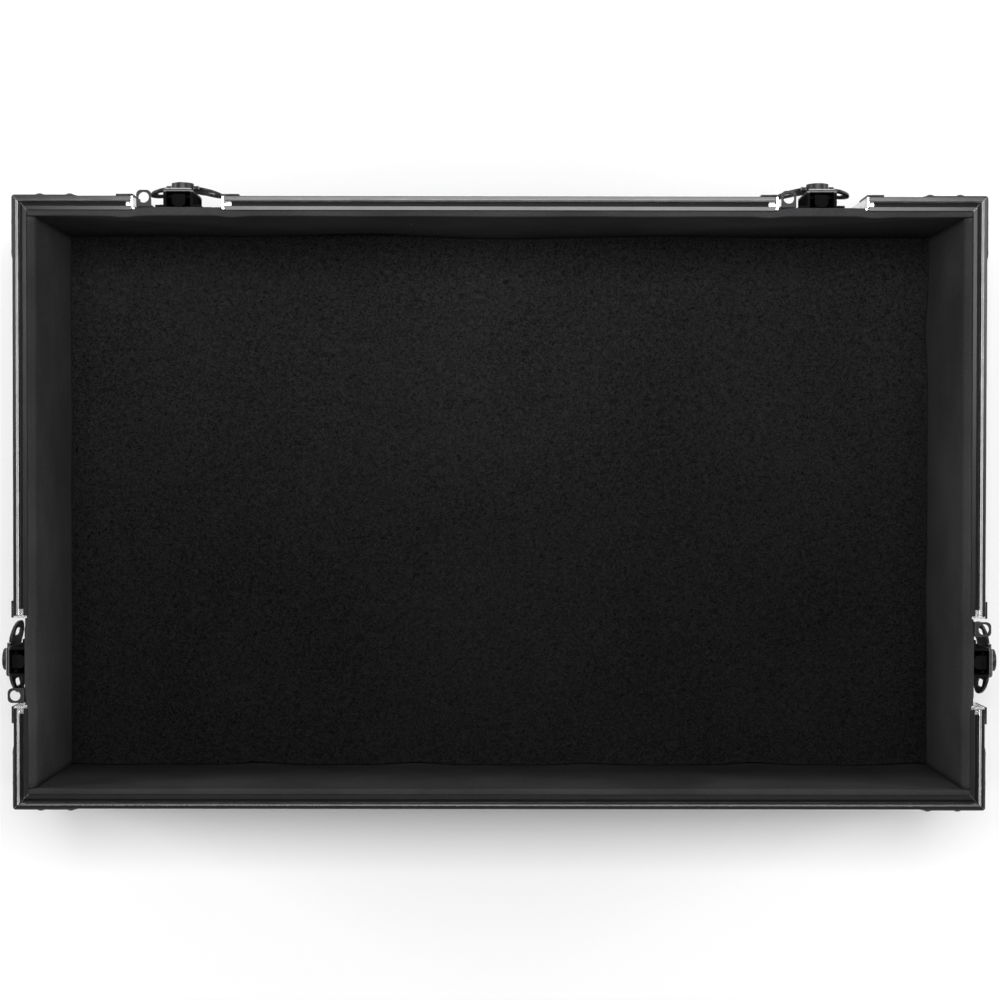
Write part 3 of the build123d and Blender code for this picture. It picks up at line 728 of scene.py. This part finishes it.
def roundEdges(piece):
    mesh = piece.data
    mesh.polygons.foreach_set("use_smooth", [True] * len(mesh.polygons))
    weld = piece.modifiers.new("weld", "WELD")
    weld.merge_threshold = rounding["weld"]
    flatten = piece.modifiers.new("flatten", "DECIMATE")
    flatten.decimate_type = "DISSOLVE"
    flatten.angle_limit = math.radians(rounding["flat"])
    bevel = piece.modifiers.new("bevel", "BEVEL")
    bevel.width = next((w for key, w in roundingOf.items() if key in piece.name), rounding["width"])
    bevel.segments = rounding["segments"]
    bevel.limit_method = "ANGLE"
    bevel.angle_limit = math.radians(rounding["angle"])
    bevel.harden_normals = True
    bevel.use_clamp_overlap = True
    piece.modifiers.new("normals", "WEIGHTED_NORMAL").keep_sharp = True


for name, piece in nodes.items():
    piece.data.materials.clear()
    piece.data.materials.append(finishOf(name))
    if "foam" not in name and name != "floor_mat":
        roundEdges(piece)
print("hard pieces finished")


# Foam linings: slabs that bow a little between their glue spots, lean out over the latches' pockets, and
# have a rounded, slightly wavy top

foam = {
    "step": 4.0,
    "round": {"front": 0.9, "back": 0.9, "left": 3.4, "right": 3.4},
    "backRound": 0.4,
    "crown": 0.9,
    "bow": 0.35,
    "bowLength": 55.0,
    "topWave": 0.35,
    "topWaveLength": 28.0,
    "topWaveSeed": 7,
    "ripple": 0.12,
    "rippleLength": 9.0,
    "rippleSeed": 3,
    "seam": 0.5,
    "lap": 2.2,
    "lapDeep": 1.2,
    "lapStep": 0.5,
    "lapSlack": 0.1,
    "backTop": 3,
    "lean": 0.4,
    "pocketHalf": 26.5,
    "pocketSide": 35.0,
    "pocketBulge": 0.8,
    "pocketBulgeReach": 7.0,
    "topFade": 16.0,
    "bottomFade": 9.0,
    "endFade": 12,
}
seedStep = 17.3
# Swellings of the lower edges, as (place along x or y, how far inwards, how wide)
swellings = {
    "front": [(97, -2.2, 36), (-7, 1.8, 50), (-125, -0.8, 32), (-240, 0.6, 60)],
    "back": [(172, 1.7, 16), (59, 1.9, 18), (-64, 1.2, 16), (-180, 1.6, 18), (-300, 2.0, 20), (300, 0.6, 16)],
    "left": [(-118, 2.2, 22), (60, 0.5, 30)],
    "right": [(-60, 0.5, 40), (90, 0.4, 30)],
}


def hump(value, centre, reach):
    return math.exp(-(((value - centre) / reach) ** 2))


def wave(along, up, length, seed):
    return noise.noise(Vector((along / length, up / length, seed * seedStep)))


def atPocket(wall, along):  # 1 behind a latch's pocket, 0 away from it
    share = 0.0
    for low, high in latchGaps[wall]:
        off = abs(along - (low + high) / 2)
        share += 1 / (1 + math.exp(off - foam["pocketHalf"]))
    return share


def besidePocket(wall, along):
    share = 0.0
    for low, high in latchGaps[wall]:
        share += hump(abs(along - (low + high) / 2), foam["pocketSide"], foam["pocketBulgeReach"])
    return share


def gridMesh(name, rows, closed):  # rows of points and the faces between them, as a sheet or a closed bar
    count = len(rows[0])
    points = [p for row in rows for p in row]
    faces = []
    for r in range(len(rows) - 1):
        for c in range(count if closed else count - 1):
            a, b = r * count + c, r * count + (c + 1) % count
            faces.append((a, b, b + count, a + count))
    if closed:
        faces.append(tuple(reversed(range(count))))
        faces.append(tuple((len(rows) - 1) * count + c for c in range(count)))
    mesh = bpy.data.meshes.new(name)
    mesh.from_pydata([[v * mm for v in p] for p in points], [], faces)
    mesh.polygons.foreach_set("use_smooth", [True] * len(mesh.polygons))
    mesh.update()
    piece = bpy.data.objects.new(name, mesh)
    bpy.context.scene.collection.objects.link(piece)
    return piece


def liningSection(wall, thickness, height):  # (how far in from its back, how high), once round
    r, b = foam["round"][wall], foam["backRound"]
    count = round(height / foam["step"])
    section = [(0.0, 0.0), (thickness, 0.0)]
    section += [(thickness, (height - r) * i / count) for i in range(1, count + 1)]
    for i in range(1, 5):
        a = i / 5 * math.pi / 2
        section.append((thickness - r + r * math.cos(a), height - r + r * math.sin(a)))
    section += [(thickness - r, height), (b, height)]
    for i in range(1, 4):
        a = i / 4 * math.pi / 2
        section.append((b - b * math.sin(a), height - b + b * math.cos(a)))
    lap = height - foam["lapDeep"]
    section += [(0.0, height - b), (0.0, lap), (0.0, lap - foam["lapStep"])]
    section += [(0.0, (height - foam["backTop"]) * i / 4) for i in (4, 3, 2, 1)]
    return section


def pushed(wall, along, up, height, seed):  # how far inwards the lining's face is moved here
    moved = foam["bow"] * wave(along, up, foam["bowLength"], seed)
    moved += foam["ripple"] * wave(along, up, foam["rippleLength"], seed + foam["rippleSeed"])
    for centre, reach, width in swellings[wall]:
        moved += reach * hump(along, centre, width) * math.exp(-up / foam["bottomFade"])
    bulge = foam["pocketBulge"] * besidePocket(wall, along) - foam["lean"] * atPocket(wall, along)
    return moved + bulge * math.exp(-(height - up) / foam["topFade"])


def makeLining(wall, seed):
    node = f"{wall}_foam_lining"
    low, high = [[v / mm for v in p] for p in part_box(node)]
    axis = 0 if wall in ("front", "back") else 1
    back = low[1 - axis] if inwards[wall] > 0 else high[1 - axis]
    thickness, height = high[1 - axis] - low[1 - axis], high[2] - low[2]
    start, end = low[axis], high[axis]
    if axis == 1:
        start, end = start + foam["seam"], end - foam["seam"]
    section = liningSection(wall, thickness, height)
    rows = []
    count = round((end - start) / foam["step"])
    for i in range(count + 1):
        along = start + (end - start) * i / count
        atEnd = min(1.0, min(along - start, end - along) / foam["endFade"])
        topWave = wave(along, 0, foam["topWaveLength"], seed + foam["topWaveSeed"])
        row = []
        for inside, up in section:
            face = inside / thickness
            topShare = math.exp(-(height - up) / foam["topFade"])
            inside += pushed(wall, along, up, height, seed) * face * atEnd
            if up > height - foam["lapDeep"] - foam["lapSlack"]:
                inside -= foam["lap"] * (1 - face) * atPocket(wall, along)
            if up > height / 2:
                up += foam["crown"] * topShare
                up += foam["topWave"] * topWave * topShare * atEnd
            spot = [0, 0, low[2] + up]
            spot[axis] = along
            spot[1 - axis] = back + inwards[wall] * inside
            row.append(spot)
        rows.append(row)
    if (axis == 0) == (inwards[wall] > 0):
        rows.reverse()
    piece = gridMesh(f"{wall}Lining", rows, True)
    piece.data.materials.append(finishes["foam"])
    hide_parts(node)
    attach(piece, "base")


for seed, wall in enumerate(inwards):
    makeLining(wall, seed)
print("foam linings made")


# Felt mat: laid over the bottom, a little uneven and fuzzy

mat = {
    "step": 5.0,
    "thick": 1.6,
    "rise": 0.3,
    "riseLength": 70.0,
    "riseSeed": 2,
    "fuzz": 0.12,
    "fuzzLength": 6.0,
    "fuzzSeed": 5,
}


def makeMat():
    low, high = [[v / mm for v in p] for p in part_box("floor_mat")]
    columns, lines = round((high[0] - low[0]) / mat["step"]), round((high[1] - low[1]) / mat["step"])
    rows = []
    for j in range(lines + 1):
        y = low[1] + (high[1] - low[1]) * j / lines
        row = []
        for i in range(columns + 1):
            x = low[0] + (high[0] - low[0]) * i / columns
            rise = mat["rise"] * wave(x, y, mat["riseLength"], mat["riseSeed"])
            rise += mat["fuzz"] * wave(x, y, mat["fuzzLength"], mat["fuzzSeed"])
            row.append((x, y, high[2] - mat["rise"] + rise))
        rows.append(row)
    piece = gridMesh("feltMat", rows, False)
    thick = piece.modifiers.new("thickness", "SOLIDIFY")
    thick.thickness = mat["thick"] * mm
    thick.offset = -1.0
    piece.data.materials.append(finishes["felt"])
    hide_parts("floor_mat")
    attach(piece, "base")


makeMat()
print("felt mat made")

scene = bpy.context.scene
scene.view_settings.view_transform = "Standard"
